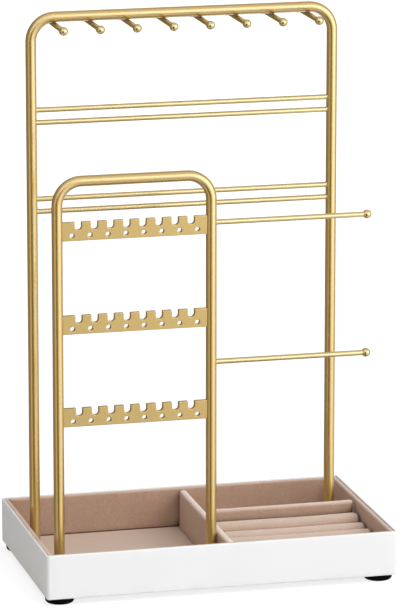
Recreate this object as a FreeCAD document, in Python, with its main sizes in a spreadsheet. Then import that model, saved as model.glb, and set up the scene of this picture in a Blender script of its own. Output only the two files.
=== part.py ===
import FreeCAD, Part
import math
import os
import Sketcher
from FreeCAD import Vector

# Jewellery stand: a low open tray lined with velvet, with a tall bent-tube frame
# behind, a shorter one over its left half, and rails, pegs, earring bars and rods
# welded to them. Millimetres. +X is the user's right, +Y goes to the back, +Z is up.
# The origin is on the ground, under the middle of the tray.

doc = FreeCAD.newDocument("jewellery_stand")

# ---------------------------------------------------------------- driving sizes
SIZES = [
    # tray
    ("tray_width", 200.0, "outside, left to right"),
    ("tray_depth", 122.5, "outside, front to back"),
    ("tray_height", 25.2, "underside to rim"),
    ("tray_wall", 1.2, "wall of the box"),
    ("tray_floor", 1.5, "floor of the box"),
    ("tray_corner", 2.0, "radius of the upright corners"),
    ("tray_edge", 0.6, "rounding of the lower edge"),
    ("rim_edge", 0.4, "rounding of the rim"),
    # feet
    ("foot_diameter", 16.0, "rubber disc"),
    ("foot_height", 3.6, "ground to the underside of the tray"),
    ("foot_inset", 9.0, "centre of a foot from the sides of the tray"),
    ("foot_rounding", 1.6, "lower edge of a foot"),
    # velvet lining
    ("soft_gap", 0.3, "room between velvet-covered pieces"),
    ("lining_thickness", 3.0, "padded board inside each wall"),
    ("lining_drop", 0.3, "top of the lining below the rim"),
    ("lining_rounding", 1.3, "top edges of the padded boards"),
    ("floor_pad", 0.5, "covered card on the floor"),
    ("post_hole_gap", 0.3, "room round a post in a floor pad"),
    # divider and ring insert
    ("divider_thickness", 4.6, "padded divider"),
    ("divider_place", 5.7, "middle of the divider, right of the middle of the tray"),
    ("divider_drop", 0.6, "top of the divider below the rim"),
    ("divider_rounding", 1.9, "top edges of the divider and of the partition"),
    ("back_pocket", 44.0, "behind the ring insert, front to back"),
    ("partition_thickness", 4.6, "padded partition"),
    ("partition_drop", 0.4, "top of the partition below the rim"),
    ("ring_card", 1.0, "card under the ring rolls"),
    ("roll_height", 14.4, "ring card to the top of a roll"),
    ("first_roll_rise", 2.1, "the roll at the partition stands this much higher"),
    # frames
    ("tube_diameter", 6.0, "outside of the frame tube"),
    ("tube_wall", 1.0, "wall of the frame tube"),
    ("bend_radius", 13.6, "tube bends, at the centreline"),
    ("post_inset", 13.5, "outer posts from the sides of the tray"),
    ("post_setback", 28.95, "posts from the front and the back of the tray"),
    ("divider_clearance", 0.4, "inner post from the divider"),
    ("rear_rise", 305.3, "tray floor to the axis of the rear top bar"),
    ("front_rise", 225.5, "tray floor to the axis of the front top bar"),
    ("weld_gap", 0.05, "room for the weld at a joint"),
    # rails across the rear frame
    ("rod_diameter", 3.0, "rails, pegs and bracelet rods"),
    ("upper_rail_drop", 51.9, "rear top bar to the upper pair, axis to axis"),
    ("lower_rail_drop", 102.3, "rear top bar to the lower pair, axis to axis"),
    ("rail_pair_pitch", 7.1, "between the two rails of a pair"),
    # pegs and ball ends
    ("ball_diameter", 5.0, "ball at the end of a peg or a bracelet rod"),
    ("peg_reach", 22.2, "axis of the top bar to the centre of a ball"),
    ("peg_margin", 0.1, "end of the bend to the first peg"),
    # earring bars
    ("bar_height", 10.5, "flat bar"),
    ("bar_thickness", 2.5, "flat bar"),
    ("first_bar_drop", 22.4, "front top bar's axis to the first bar's top edge"),
    ("bar_pitch", 52.2, "from bar to bar"),
    ("notch_width", 3.7, "round-bottomed notch"),
    ("notch_depth", 4.4, "round-bottomed notch"),
    ("notch_margin", 8.6, "tube to the middle of the first notch"),
    ("hole_diameter", 2.5, "earring hole"),
    ("hole_height", 3.0, "lower edge of the bar to the middle of a hole"),
    ("hole_margin", 5.1, "tube to the middle of the first hole"),
    # bracelet rods
    ("upper_rod_drop", 26.7, "front top bar's axis to the upper rod"),
    ("lower_rod_drop", 105.4, "front top bar's axis to the lower rod"),
    ("rod_reach", 88.9, "axis of the inner post to the centre of the ball"),
    # fixings under the tray
    ("screw_diameter", 3.0, "shank of a frame screw"),
    ("screw_hole_gap", 0.2, "room round the shank in the floor and the washer"),
    ("screw_grip", 6.0, "length of the shank inside the plug"),
    ("screw_head_diameter", 5.6, "pan head"),
    ("screw_head_height", 1.7, "pan head"),
    ("washer_diameter", 9.0, "washer under the floor"),
    ("washer_thickness", 0.6, "washer under the floor"),
    ("plug_length", 10.0, "threaded plug in a tube end"),
    ("plug_gap", 0.05, "plug in the tube, for the braze"),
    ("thread_gap", 0.05, "shank in the plug"),
]
PEGS = 8
NOTCHES = 8
HOLES = 8
EARRING_BARS = ("top", "middle", "bottom")
RING_ROLLS = 5
ROUNDING_SHARE = 0.45  # the most of a piece's thickness that a rounding may take
OVERCUT = 3  # a cutter is this many times as long as what it cuts
SNUG = 1e-4  # lengths closer than this are the same

sheet = doc.addObject("Spreadsheet::Sheet", "sizes")
for row, (name, value, note) in enumerate(SIZES, start=1):
    sheet.set("A%d" % row, name)
    sheet.set("B%d" % row, str(value))
    sheet.set("C%d" % row, note)
    sheet.setAlias("B%d" % row, name)
doc.recompute()

# Formulas that more than one piece uses
FLOOR_TOP = "(sizes.foot_height + sizes.tray_floor)"
RIM = "(sizes.foot_height + sizes.tray_height)"
SHELL_INSIDE_X = "(sizes.tray_width - 2 * sizes.tray_wall)"
SHELL_INSIDE_Y = "(sizes.tray_depth - 2 * sizes.tray_wall)"
LINED_X = "(sizes.tray_width / 2 - sizes.tray_wall - sizes.lining_thickness)"
LINED_Y = "(sizes.tray_depth / 2 - sizes.tray_wall - sizes.lining_thickness)"
DIVIDER_LEFT = "(sizes.divider_place - sizes.divider_thickness / 2)"
DIVIDER_RIGHT = "(sizes.divider_place + sizes.divider_thickness / 2)"
PARTITION_FRONT = "(%s - sizes.back_pocket - sizes.partition_thickness)" % LINED_Y
POST_X = "(sizes.tray_width / 2 - sizes.post_inset)"
POST_Y = "(sizes.tray_depth / 2 - sizes.post_setback)"
INNER_POST_X = "(%s - sizes.divider_clearance - sizes.tube_diameter / 2)" % DIVIDER_LEFT
REAR_SPAN = "(2 * %s)" % POST_X
FRONT_SPAN = "(%s + %s)" % (POST_X, INNER_POST_X)
REAR_BAR_Z = "(%s + sizes.rear_rise)" % FLOOR_TOP
FRONT_BAR_Z = "(%s + sizes.front_rise)" % FLOOR_TOP
REAR_POSTS = [("-" + POST_X, POST_Y), (POST_X, POST_Y)]
FRONT_POSTS = [("-" + POST_X, "-" + POST_Y), (INNER_POST_X, "-" + POST_Y)]


# ---------------------------------------------------------------- how pieces are drawn
def size(formula):
    """The number that a formula gives."""
    return float(sheet.evalExpression(formula))


def place(thing, x, y, z):
    """Bind the place of a body or a cylinder to formulas."""
    for axis, formula in (("x", x), ("y", y), ("z", z)):
        thing.setExpression("Placement.Base." + axis, formula)


def new_body(label, x="0", y="0", z="0"):
    """An empty body with its own name."""
    body = doc.addObject("PartDesign::Body", label)
    body.Label = label
    place(body, x, y, z)
    return body


def new_sketch(body, name, plane, height="0"):
    """A sketch on one of the body's own planes, lifted off it by a formula."""
    sketch = body.newObject("Sketcher::SketchObject", name)
    support = next(feature for feature in body.Origin.OriginFeatures if feature.Role == plane)
    sketch.AttachmentSupport = [(support, "")]
    sketch.MapMode = "FlatFace"
    sketch.setExpression("AttachmentOffset.Base.z", height)
    return sketch


def rounding(radius, thickness):
    """The formula of a rounding that stays under half of the piece's thickness."""
    return "min(sizes.%s; sizes.%s * %s)" % (radius, thickness, ROUNDING_SHARE)


def rule(sketch, formula, kind, *where):
    """A dimension of a sketch, bound to a formula."""
    index = sketch.addConstraint(Sketcher.Constraint(kind, *where, size(formula)))
    sketch.setExpression("Constraints[%d]" % index, formula)


def close_loop(sketch, first, last):
    """Join the ends of the edges first to last, each to the next and the last to the first."""
    edges = list(range(first, last + 1))
    for edge, following in zip(edges, edges[1:] + edges[:1]):
        sketch.addConstraint(Sketcher.Constraint("Coincident", edge, 2, following, 1))


def draw_rectangle(sketch, width, height, centred=True):
    """A rectangle about the sketch's origin, or with its lower left corner there."""
    wide, high = size(width), size(height)
    left, low = (-wide / 2, -high / 2) if centred else (0, 0)
    corners = [Vector(left, low, 0), Vector(left + wide, low, 0)]
    corners += [Vector(left + wide, low + high, 0), Vector(left, low + high, 0)]
    first = sketch.GeometryCount
    for start, end in zip(corners, corners[1:] + corners[:1]):
        sketch.addGeometry(Part.LineSegment(start, end))
    close_loop(sketch, first, first + 3)
    for side in (0, 2):
        sketch.addConstraint(Sketcher.Constraint("Horizontal", first + side))
        sketch.addConstraint(Sketcher.Constraint("Vertical", first + side + 1))
    if centred:
        sketch.addConstraint(Sketcher.Constraint("Symmetric", first, 1, first + 2, 1, -1, 1))
    else:
        sketch.addConstraint(Sketcher.Constraint("Coincident", first, 1, -1, 1))
    rule(sketch, width, "DistanceX", first, 1, first, 2)
    rule(sketch, height, "DistanceY", first + 1, 1, first + 1, 2)


def draw_circle(sketch, diameter, x=None, y=None):
    """A circle; a place that isn't given lies on the sketch's own axis."""
    centre = Vector(size(x) if x else 0, size(y) if y else 0, 0)
    circle = sketch.addGeometry(Part.Circle(centre, Vector(0, 0, 1), size(diameter) / 2))
    rule(sketch, diameter, "Diameter", circle)
    for distance, kind, axis in ((x, "DistanceX", -2), (y, "DistanceY", -1)):
        if distance:
            rule(sketch, distance, kind, -1, 1, circle, 3)
        else:
            sketch.addConstraint(Sketcher.Constraint("PointOnObject", circle, 3, axis))


def add_pad(body, sketch, length, symmetric=False):
    """Extrude a sketch."""
    pad = body.newObject("PartDesign::Pad", "Pad")
    pad.Profile = sketch
    pad.SideType = "Symmetric" if symmetric else "One side"
    pad.setExpression("Length", length)
    doc.recompute()
    return pad


def add_pocket(body, sketch, depth, symmetric=False):
    """Cut a sketch into the body, from its plane downwards or to both sides."""
    before = body.Shape.Volume
    pocket = body.newObject("PartDesign::Pocket", "Pocket")
    pocket.Profile = sketch
    pocket.SideType = "Symmetric" if symmetric else "One side"
    pocket.setExpression("Length", depth)
    doc.recompute()
    if not body.Shape.Volume < before:
        raise RuntimeError("the pocket of %s in %s cuts nothing" % (sketch.Name, body.Label))
    return pocket


def add_fillet(body, wanted, radius):
    """Round the edges of the body's tip for which wanted(edge) is true."""
    tip = body.Tip
    names = ["Edge%d" % (i + 1) for i, edge in enumerate(tip.Shape.Edges) if wanted(edge)]
    fillet = body.newObject("PartDesign::Fillet", "Fillet")
    fillet.Base = (tip, names)
    fillet.setExpression("Radius", radius)
    doc.recompute()
    return fillet


def add_row(body, feature, length, count):
    """Repeat a feature along the body's X axis, count times over a length."""
    before = body.Shape.Volume
    pattern = body.newObject("PartDesign::LinearPattern", "LinearPattern")
    pattern.Originals = [feature]
    direction = next(axis for axis in body.Origin.OriginFeatures if axis.Role == "X_Axis")
    pattern.Direction = (direction, [""])
    pattern.setExpression("Length", length)
    pattern.Occurrences = count
    body.Tip = pattern
    doc.recompute()
    if abs(body.Shape.Volume - before) < SNUG:
        raise RuntimeError("the row of %s in %s changes nothing" % (feature.Name, body.Label))
    return pattern


def at_height(edge, height):
    """Whether a whole edge lies at one height in its body."""
    box = edge.BoundBox
    return abs(box.ZMin - height) < SNUG and abs(box.ZMax - height) < SNUG


def upright(edge):
    """Whether an edge is a straight vertical line."""
    return edge.BoundBox.XLength < SNUG and edge.BoundBox.YLength < SNUG


# ---------------------------------------------------------------- tray
def make_tray_shell():
    """Leatherette-covered box: a block with rounded corners, hollowed from above."""
    body = new_body("tray_shell", z="sizes.foot_height")
    outline = new_sketch(body, "outline", "XY_Plane")
    draw_rectangle(outline, "sizes.tray_width", "sizes.tray_depth")
    add_pad(body, outline, "sizes.tray_height")
    add_fillet(body, upright, "sizes.tray_corner")
    add_fillet(body, lambda edge: at_height(edge, 0), rounding("tray_edge", "tray_floor"))
    top = size("sizes.tray_height")
    add_fillet(body, lambda edge: at_height(edge, top), rounding("rim_edge", "tray_wall"))
    hollow = new_sketch(body, "hollow", "XY_Plane", "sizes.tray_height")
    draw_rectangle(hollow, SHELL_INSIDE_X, SHELL_INSIDE_Y)
    add_pocket(body, hollow, "sizes.tray_height - sizes.tray_floor")
    screws = new_sketch(body, "screw_holes", "XY_Plane", "sizes.tray_floor")
    for x, y in REAR_POSTS + FRONT_POSTS:
        draw_circle(screws, "sizes.screw_diameter + 2 * sizes.screw_hole_gap", x, y)
    add_pocket(body, screws, "sizes.tray_floor")
    return body


def make_board(label, box, spot, top_rounding=None):
    """Board of a width, depth and height that stands on a spot; padding rounds its top edges."""
    width, depth, height = box
    body = new_body(label, *spot)
    outline = new_sketch(body, "outline", "XY_Plane")
    draw_rectangle(outline, width, depth)
    add_pad(body, outline, height)
    if top_rounding:
        top = size(height)
        add_fillet(body, lambda edge: at_height(edge, top), top_rounding)
    return body


def make_lining():
    """Four boards inside the walls: the side ones run right through, the others between them."""
    thickness, height = "sizes.lining_thickness", "sizes.tray_height - sizes.tray_floor - sizes.lining_drop"
    soft = rounding("lining_rounding", "lining_thickness")
    side_x = "(%s / 2 - sizes.lining_thickness / 2)" % SHELL_INSIDE_X
    end_y = "(%s / 2 - sizes.lining_thickness / 2)" % SHELL_INSIDE_Y
    side_length = "%s - 2 * sizes.soft_gap" % SHELL_INSIDE_Y
    end_length = "2 * (%s - sizes.soft_gap)" % LINED_X
    for side, sign in (("left", "-"), ("right", "")):
        box, spot = (thickness, side_length, height), (sign + side_x, "0", FLOOR_TOP)
        make_board("lining_" + side, box, spot, soft)
    for end, sign in (("front", "-"), ("back", "")):
        box, spot = (end_length, thickness, height), ("0", sign + end_y, FLOOR_TOP)
        make_board("lining_" + end, box, spot, soft)


def make_floor_pad(label, left, right, posts):
    """Covered card on the floor between two upright faces, with a hole for each post."""
    middle = "((%s + %s) / 2)" % (left, right)
    width = "%s - %s - 2 * sizes.soft_gap" % (right, left)
    depth = "2 * (%s - sizes.soft_gap)" % LINED_Y
    body = make_board(label, (width, depth, "sizes.floor_pad"), (middle, "0", FLOOR_TOP))
    holes = new_sketch(body, "post_holes", "XY_Plane", "sizes.floor_pad")
    for x, y in posts:
        draw_circle(holes, "sizes.tube_diameter + 2 * sizes.post_hole_gap", "%s - %s" % (x, middle), y)
    add_pocket(body, holes, "sizes.floor_pad")
    return body


def make_divider():
    """Padded divider from the front lining to the back lining, on the tray floor."""
    height = "sizes.tray_height - sizes.tray_floor - sizes.divider_drop"
    box = ("sizes.divider_thickness", "2 * (%s - sizes.soft_gap)" % LINED_Y, height)
    spot = ("sizes.divider_place", "0", FLOOR_TOP)
    make_board("divider", box, spot, rounding("divider_rounding", "divider_thickness"))


# ---------------------------------------------------------------- ring insert
INSERT_LEFT = "(%s + sizes.soft_gap)" % DIVIDER_RIGHT
INSERT_RIGHT = "(%s - sizes.soft_gap)" % LINED_X
INSERT_WIDTH = "(%s - %s)" % (INSERT_RIGHT, INSERT_LEFT)
INSERT_MIDDLE = "((%s + %s) / 2)" % (INSERT_RIGHT, INSERT_LEFT)
PAD_TOP = "(%s + sizes.floor_pad)" % FLOOR_TOP
ROLL_BED = "(%s + %s)" % (LINED_Y, PARTITION_FRONT)
ROLL_PITCH = "(%s / %d)" % (ROLL_BED, RING_ROLLS)
ROLL_WIDTH = "(%s - sizes.soft_gap)" % ROLL_PITCH


def make_partition():
    """Padded board that closes the back of the ring insert."""
    box = (INSERT_WIDTH, "sizes.partition_thickness", "%s - sizes.partition_drop - %s" % (RIM, PAD_TOP))
    spot = (INSERT_MIDDLE, "%s + sizes.partition_thickness / 2" % PARTITION_FRONT, PAD_TOP)
    make_board("ring_partition", box, spot, rounding("divider_rounding", "partition_thickness"))


def make_ring_card():
    """Card that carries the ring rolls."""
    box = (INSERT_WIDTH, "%s - 2 * sizes.soft_gap" % ROLL_BED, "sizes.ring_card")
    make_board("ring_card", box, (INSERT_MIDDLE, "%s - %s / 2" % (PARTITION_FRONT, ROLL_BED), PAD_TOP))


def make_ring_roll(number):
    """Foam roll: straight sides and a half-round top, as long as the insert is wide."""
    middle = "%s - (%d - 0.5) * %s" % (PARTITION_FRONT, number, ROLL_PITCH)
    body = new_body("ring_roll_%d" % number, INSERT_MIDDLE, middle, "%s + sizes.ring_card" % PAD_TOP)
    height = "(sizes.roll_height + sizes.first_roll_rise)" if number == 1 else "sizes.roll_height"
    half = size(ROLL_WIDTH) / 2
    shoulder = size(height) - half
    section = new_sketch(body, "section", "YZ_Plane")
    section.addGeometry(Part.LineSegment(Vector(-half, 0, 0), Vector(half, 0, 0)))
    section.addGeometry(Part.LineSegment(Vector(half, 0, 0), Vector(half, shoulder, 0)))
    arc = Part.Arc(Vector(half, shoulder, 0), Vector(0, shoulder + half, 0), Vector(-half, shoulder, 0))
    section.addGeometry(arc)
    section.addGeometry(Part.LineSegment(Vector(-half, shoulder, 0), Vector(-half, 0, 0)))
    section.addConstraint(Sketcher.Constraint("Coincident", 0, 2, 1, 1))
    section.addConstraint(Sketcher.Constraint("Tangent", 1, 2, 2, 1))
    section.addConstraint(Sketcher.Constraint("Tangent", 2, 2, 3, 1))
    section.addConstraint(Sketcher.Constraint("Coincident", 3, 2, 0, 1))
    section.addConstraint(Sketcher.Constraint("Vertical", 1))
    section.addConstraint(Sketcher.Constraint("Vertical", 3))
    section.addConstraint(Sketcher.Constraint("Symmetric", 0, 1, 0, 2, -1, 1))
    section.addConstraint(Sketcher.Constraint("PointOnObject", 0, 1, -1))
    rule(section, ROLL_WIDTH, "DistanceX", 0, 1, 0, 2)
    rule(section, "%s - %s / 2" % (height, ROLL_WIDTH), "DistanceY", 1, 1, 1, 2)
    add_pad(body, section, INSERT_WIDTH, symmetric=True)
    return body


# ---------------------------------------------------------------- feet
def make_foot(label, x, y):
    """Rubber disc with a rounded lower edge, glued under a corner of the tray."""
    body = new_body(label, x, y)
    outline = new_sketch(body, "outline", "XY_Plane")
    draw_circle(outline, "sizes.foot_diameter")
    add_pad(body, outline, "sizes.foot_height")
    add_fillet(body, lambda edge: at_height(edge, 0), rounding("foot_rounding", "foot_height"))
    return body


# ---------------------------------------------------------------- bent-tube frames
def make_frame(label, span, rise, y):
    """Upside-down U of one tube: a ring swept up a post, round a bend, across and down again."""
    body = new_body(label, "-" + POST_X, y, FLOOR_TOP)
    section = new_sketch(body, "section", "XY_Plane")
    draw_circle(section, "sizes.tube_diameter")
    draw_circle(section, "sizes.tube_diameter - 2 * sizes.tube_wall")
    path = new_sketch(body, "path", "XZ_Plane")
    wide, high, bend = size(span), size(rise), size("sizes.bend_radius")
    cut_in = bend * (1 - math.sqrt(0.5))
    left_low, left_top = Vector(0, high - bend, 0), Vector(bend, high, 0)
    right_top, right_low = Vector(wide - bend, high, 0), Vector(wide, high - bend, 0)
    path.addGeometry(Part.LineSegment(Vector(0, 0, 0), left_low))
    path.addGeometry(Part.Arc(left_low, Vector(cut_in, high - cut_in, 0), left_top))
    path.addGeometry(Part.LineSegment(left_top, right_top))
    path.addGeometry(Part.Arc(right_top, Vector(wide - cut_in, high - cut_in, 0), right_low))
    path.addGeometry(Part.LineSegment(right_low, Vector(wide, 0, 0)))
    # An arc is kept anticlockwise, so its end meets the edge before it and its start the edge after.
    for line, line_end, arc, arc_end in ((0, 2, 1, 2), (2, 1, 1, 1), (2, 2, 3, 2), (4, 1, 3, 1)):
        path.addConstraint(Sketcher.Constraint("Tangent", line, line_end, arc, arc_end))
    path.addConstraint(Sketcher.Constraint("Coincident", 0, 1, -1, 1))
    path.addConstraint(Sketcher.Constraint("Vertical", 0))
    path.addConstraint(Sketcher.Constraint("Horizontal", 2))
    path.addConstraint(Sketcher.Constraint("Vertical", 4))
    path.addConstraint(Sketcher.Constraint("PointOnObject", 4, 2, -1))
    rule(path, "sizes.bend_radius", "Radius", 1)
    rule(path, "sizes.bend_radius", "Radius", 3)
    rule(path, rise, "DistanceY", -1, 1, 2, 1)
    rule(path, span, "DistanceX", -1, 1, 4, 2)
    doc.recompute()
    pipe = body.newObject("PartDesign::AdditivePipe", "AdditivePipe")
    pipe.Profile = section
    pipe.Spine = (path, ["Edge%d" % number for number in range(1, 6)])
    doc.recompute()
    return body


def cope(body, places, height):
    """Hollow the ends of a welded piece to the tubes it meets, at these places along X."""
    cut = new_sketch(body, "tube_cut", "XY_Plane")
    for x in places:
        draw_circle(cut, "sizes.tube_diameter + 2 * sizes.weld_gap", x)
    add_pocket(body, cut, "%d * %s" % (OVERCUT, height), symmetric=True)


def make_rail(label, drop):
    """Thin rod between the posts of the rear frame."""
    body = new_body(label, "-" + POST_X, POST_Y, "%s - %s" % (REAR_BAR_Z, drop))
    section = new_sketch(body, "section", "YZ_Plane")
    draw_circle(section, "sizes.rod_diameter")
    add_pad(body, section, REAR_SPAN)
    cope(body, [None, REAR_SPAN], "sizes.rod_diameter")
    return body


def make_earring_bar(label, number):
    """Flat bar between the posts of the front frame: a row of notches above a row of holes."""
    top_edge = "%s - sizes.first_bar_drop - %d * sizes.bar_pitch" % (FRONT_BAR_Z, number)
    lower_edge = top_edge + " - sizes.bar_height"
    body = new_body(label, "-" + POST_X, "-" + POST_Y, lower_edge)
    blank = new_sketch(body, "blank", "XZ_Plane")
    draw_rectangle(blank, FRONT_SPAN, "sizes.bar_height", centred=False)
    add_pad(body, blank, "sizes.bar_thickness", symmetric=True)
    clear_length = "(%s - sizes.tube_diameter)" % FRONT_SPAN
    through = "%d * sizes.bar_thickness" % OVERCUT

    notch = new_sketch(body, "notch", "XZ_Plane")
    x, half = size("sizes.tube_diameter / 2 + sizes.notch_margin"), size("sizes.notch_width / 2")
    top, low = size("sizes.bar_height"), size("sizes.bar_height - sizes.notch_depth")
    left_top, right_top = Vector(x - half, top, 0), Vector(x + half, top, 0)
    left_low, right_low = Vector(x - half, low + half, 0), Vector(x + half, low + half, 0)
    notch.addGeometry(Part.LineSegment(left_top, left_low))
    notch.addGeometry(Part.Arc(left_low, Vector(x, low, 0), right_low))
    notch.addGeometry(Part.LineSegment(right_low, right_top))
    notch.addGeometry(Part.LineSegment(right_top, left_top))
    notch.addConstraint(Sketcher.Constraint("Tangent", 0, 2, 1, 1))
    notch.addConstraint(Sketcher.Constraint("Tangent", 1, 2, 2, 1))
    notch.addConstraint(Sketcher.Constraint("Coincident", 2, 2, 3, 1))
    notch.addConstraint(Sketcher.Constraint("Coincident", 3, 2, 0, 1))
    notch.addConstraint(Sketcher.Constraint("Horizontal", 3))
    notch.addConstraint(Sketcher.Constraint("Vertical", 0))
    notch.addConstraint(Sketcher.Constraint("Vertical", 2))
    rule(notch, "sizes.notch_width / 2", "Radius", 1)
    rule(notch, "sizes.tube_diameter / 2 + sizes.notch_margin", "DistanceX", -1, 1, 1, 3)
    rule(notch, "sizes.bar_height", "DistanceY", -1, 1, 0, 1)
    rule(notch, "sizes.bar_height - sizes.notch_depth + sizes.notch_width / 2", "DistanceY", -1, 1, 1, 3)
    first_notch = add_pocket(body, notch, through, symmetric=True)
    add_row(body, first_notch, "%s - 2 * sizes.notch_margin" % clear_length, NOTCHES)

    hole = new_sketch(body, "hole", "XZ_Plane")
    first_x = "sizes.tube_diameter / 2 + sizes.hole_margin"
    draw_circle(hole, "sizes.hole_diameter", first_x, "sizes.hole_height")
    first_hole = add_pocket(body, hole, through, symmetric=True)
    add_row(body, first_hole, "%s - 2 * sizes.hole_margin" % clear_length, HOLES)

    cope(body, [None, FRONT_SPAN], "sizes.bar_height")
    return body


# ---------------------------------------------------------------- turned pieces with ball ends
NECK = "sqrt((sizes.ball_diameter / 2)^2 - (sizes.rod_diameter / 2)^2)"


def make_peg(number):
    """Turned peg with a ball at each end, welded across the underside of the rear top bar."""
    first = "(%s - sizes.bend_radius - sizes.peg_margin)" % POST_X
    x = "-%s + %d * 2 * %s / %d" % (first, number - 1, first, PEGS - 1)
    z = "%s - sizes.tube_diameter / 2 - sizes.weld_gap - sizes.rod_diameter / 2" % REAR_BAR_Z
    body = new_body("peg_%d" % number, x, POST_Y, z)
    rod, ball = size("sizes.rod_diameter / 2"), size("sizes.ball_diameter / 2")
    reach, neck = size("sizes.peg_reach"), size(NECK)
    half = new_sketch(body, "half_outline", "XY_Plane")
    tip, front = reach + ball, reach - neck
    half.addGeometry(Part.LineSegment(Vector(0, tip, 0), Vector(0, -tip, 0)))
    half.addGeometry(Part.Arc(Vector(0, -tip, 0), Vector(ball, -reach, 0), Vector(rod, -front, 0)))
    half.addGeometry(Part.LineSegment(Vector(rod, -front, 0), Vector(rod, front, 0)))
    half.addGeometry(Part.Arc(Vector(rod, front, 0), Vector(ball, reach, 0), Vector(0, tip, 0)))
    close_loop(half, 0, 3)
    half.addConstraint(Sketcher.Constraint("PointOnObject", 0, 1, -2))
    half.addConstraint(Sketcher.Constraint("PointOnObject", 0, 2, -2))
    half.addConstraint(Sketcher.Constraint("Vertical", 2))
    for arc in (1, 3):
        half.addConstraint(Sketcher.Constraint("PointOnObject", arc, 3, -2))
        rule(half, "sizes.ball_diameter / 2", "Radius", arc)
    rule(half, "sizes.peg_reach", "DistanceY", 1, 3, -1, 1)
    rule(half, "sizes.peg_reach", "DistanceY", -1, 1, 3, 3)
    rule(half, "sizes.rod_diameter / 2", "DistanceX", -1, 1, 2, 1)
    turn(body, half, "V_Axis")
    return body


def make_bracelet_rod(label, drop):
    """Turned rod with a ball at its free end, coped and welded to the front frame's inner post."""
    body = new_body(label, INNER_POST_X, "-" + POST_Y, "%s - %s" % (FRONT_BAR_Z, drop))
    rod, ball = size("sizes.rod_diameter / 2"), size("sizes.ball_diameter / 2")
    reach, neck = size("sizes.rod_reach"), size(NECK)
    half = new_sketch(body, "half_outline", "XY_Plane")
    tip, neck_end = Vector(reach + ball, 0, 0), Vector(reach - neck, rod, 0)
    half.addGeometry(Part.LineSegment(tip, Vector(0, 0, 0)))
    half.addGeometry(Part.LineSegment(Vector(0, 0, 0), Vector(0, rod, 0)))
    half.addGeometry(Part.LineSegment(Vector(0, rod, 0), neck_end))
    half.addGeometry(Part.Arc(neck_end, Vector(reach, ball, 0), tip))
    half.addConstraint(Sketcher.Constraint("Coincident", 0, 2, 1, 1))
    half.addConstraint(Sketcher.Constraint("Coincident", 1, 2, 2, 1))
    half.addConstraint(Sketcher.Constraint("Coincident", 2, 2, 3, 2))
    half.addConstraint(Sketcher.Constraint("Coincident", 3, 1, 0, 1))
    half.addConstraint(Sketcher.Constraint("Coincident", 0, 2, -1, 1))
    half.addConstraint(Sketcher.Constraint("PointOnObject", 0, 1, -1))
    half.addConstraint(Sketcher.Constraint("PointOnObject", 3, 3, -1))
    half.addConstraint(Sketcher.Constraint("Vertical", 1))
    half.addConstraint(Sketcher.Constraint("Horizontal", 2))
    rule(half, "sizes.ball_diameter / 2", "Radius", 3)
    rule(half, "sizes.rod_reach", "DistanceX", -1, 1, 3, 3)
    rule(half, "sizes.rod_diameter / 2", "DistanceY", -1, 1, 1, 2)
    turn(body, half, "H_Axis")
    cope(body, [None], "sizes.rod_diameter")
    return body


def turn(body, outline, axis):
    """Revolve a half outline about one of its sketch's axes."""
    revolution = body.newObject("PartDesign::Revolution", "Revolution")
    revolution.Profile = outline
    revolution.ReferenceAxis = (outline, [axis])
    revolution.Angle = 360
    doc.recompute()
    return revolution


# ---------------------------------------------------------------- fixings under each post
def new_cylinder(name, diameter, height, x, y, z):
    """An upright cylinder that stands at a place."""
    cylinder = doc.addObject("Part::Cylinder", name)
    cylinder.setExpression("Radius", "(%s) / 2" % diameter)
    cylinder.setExpression("Height", height)
    place(cylinder, x, y, z)
    return cylinder


def new_ring(name, diameter, bore, height, x, y, z):
    """A cylinder with a hole right through it."""
    ring = doc.addObject("Part::Cut", name)
    ring.Base = new_cylinder(name + "_outside", diameter, height, x, y, z)
    ring.Tool = new_cylinder(name + "_bore", bore, height, x, y, z)
    return ring


def new_screw(name, x, y):
    """Pan head under the washer, and a shank up through washer and floor into the plug."""
    diameter, height = "sizes.screw_head_diameter", "sizes.screw_head_height"
    foot = "sizes.foot_height - sizes.washer_thickness - sizes.screw_head_height"
    length = "sizes.screw_head_height + sizes.washer_thickness + sizes.tray_floor + sizes.screw_grip"
    screw = doc.addObject("Part::Fuse", name)
    screw.Base = new_cylinder(name + "_head", diameter, height, x, y, foot)
    screw.Tool = new_cylinder(name + "_shank", "sizes.screw_diameter", length, x, y, foot)
    return screw


def make_fixings():
    """One plug, washer and screw for each post, each kind as one group of separate solids."""
    clear_bore = "sizes.screw_diameter + 2 * sizes.screw_hole_gap"
    plug_bore = "sizes.screw_diameter + 2 * sizes.thread_gap"
    plug_outside = "sizes.tube_diameter - 2 * sizes.tube_wall - 2 * sizes.plug_gap"
    washer_z = "sizes.foot_height - sizes.washer_thickness"
    plug = (plug_outside, plug_bore, "sizes.plug_length")
    washer = ("sizes.washer_diameter", clear_bore, "sizes.washer_thickness")
    plugs, washers, screws = [], [], []
    for number, (x, y) in enumerate(REAR_POSTS + FRONT_POSTS, start=1):
        plugs.append(new_ring("plug_%d" % number, *plug, x, y, FLOOR_TOP))
        washers.append(new_ring("washer_%d" % number, *washer, x, y, washer_z))
        screws.append(new_screw("screw_%d" % number, x, y))
    groups = []
    for label, links in (("thread_plugs", plugs), ("frame_washers", washers), ("frame_screws", screws)):
        group = doc.addObject("Part::Compound", label)
        group.Label = label
        group.Links = links
        groups.append(group)
    return groups


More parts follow.
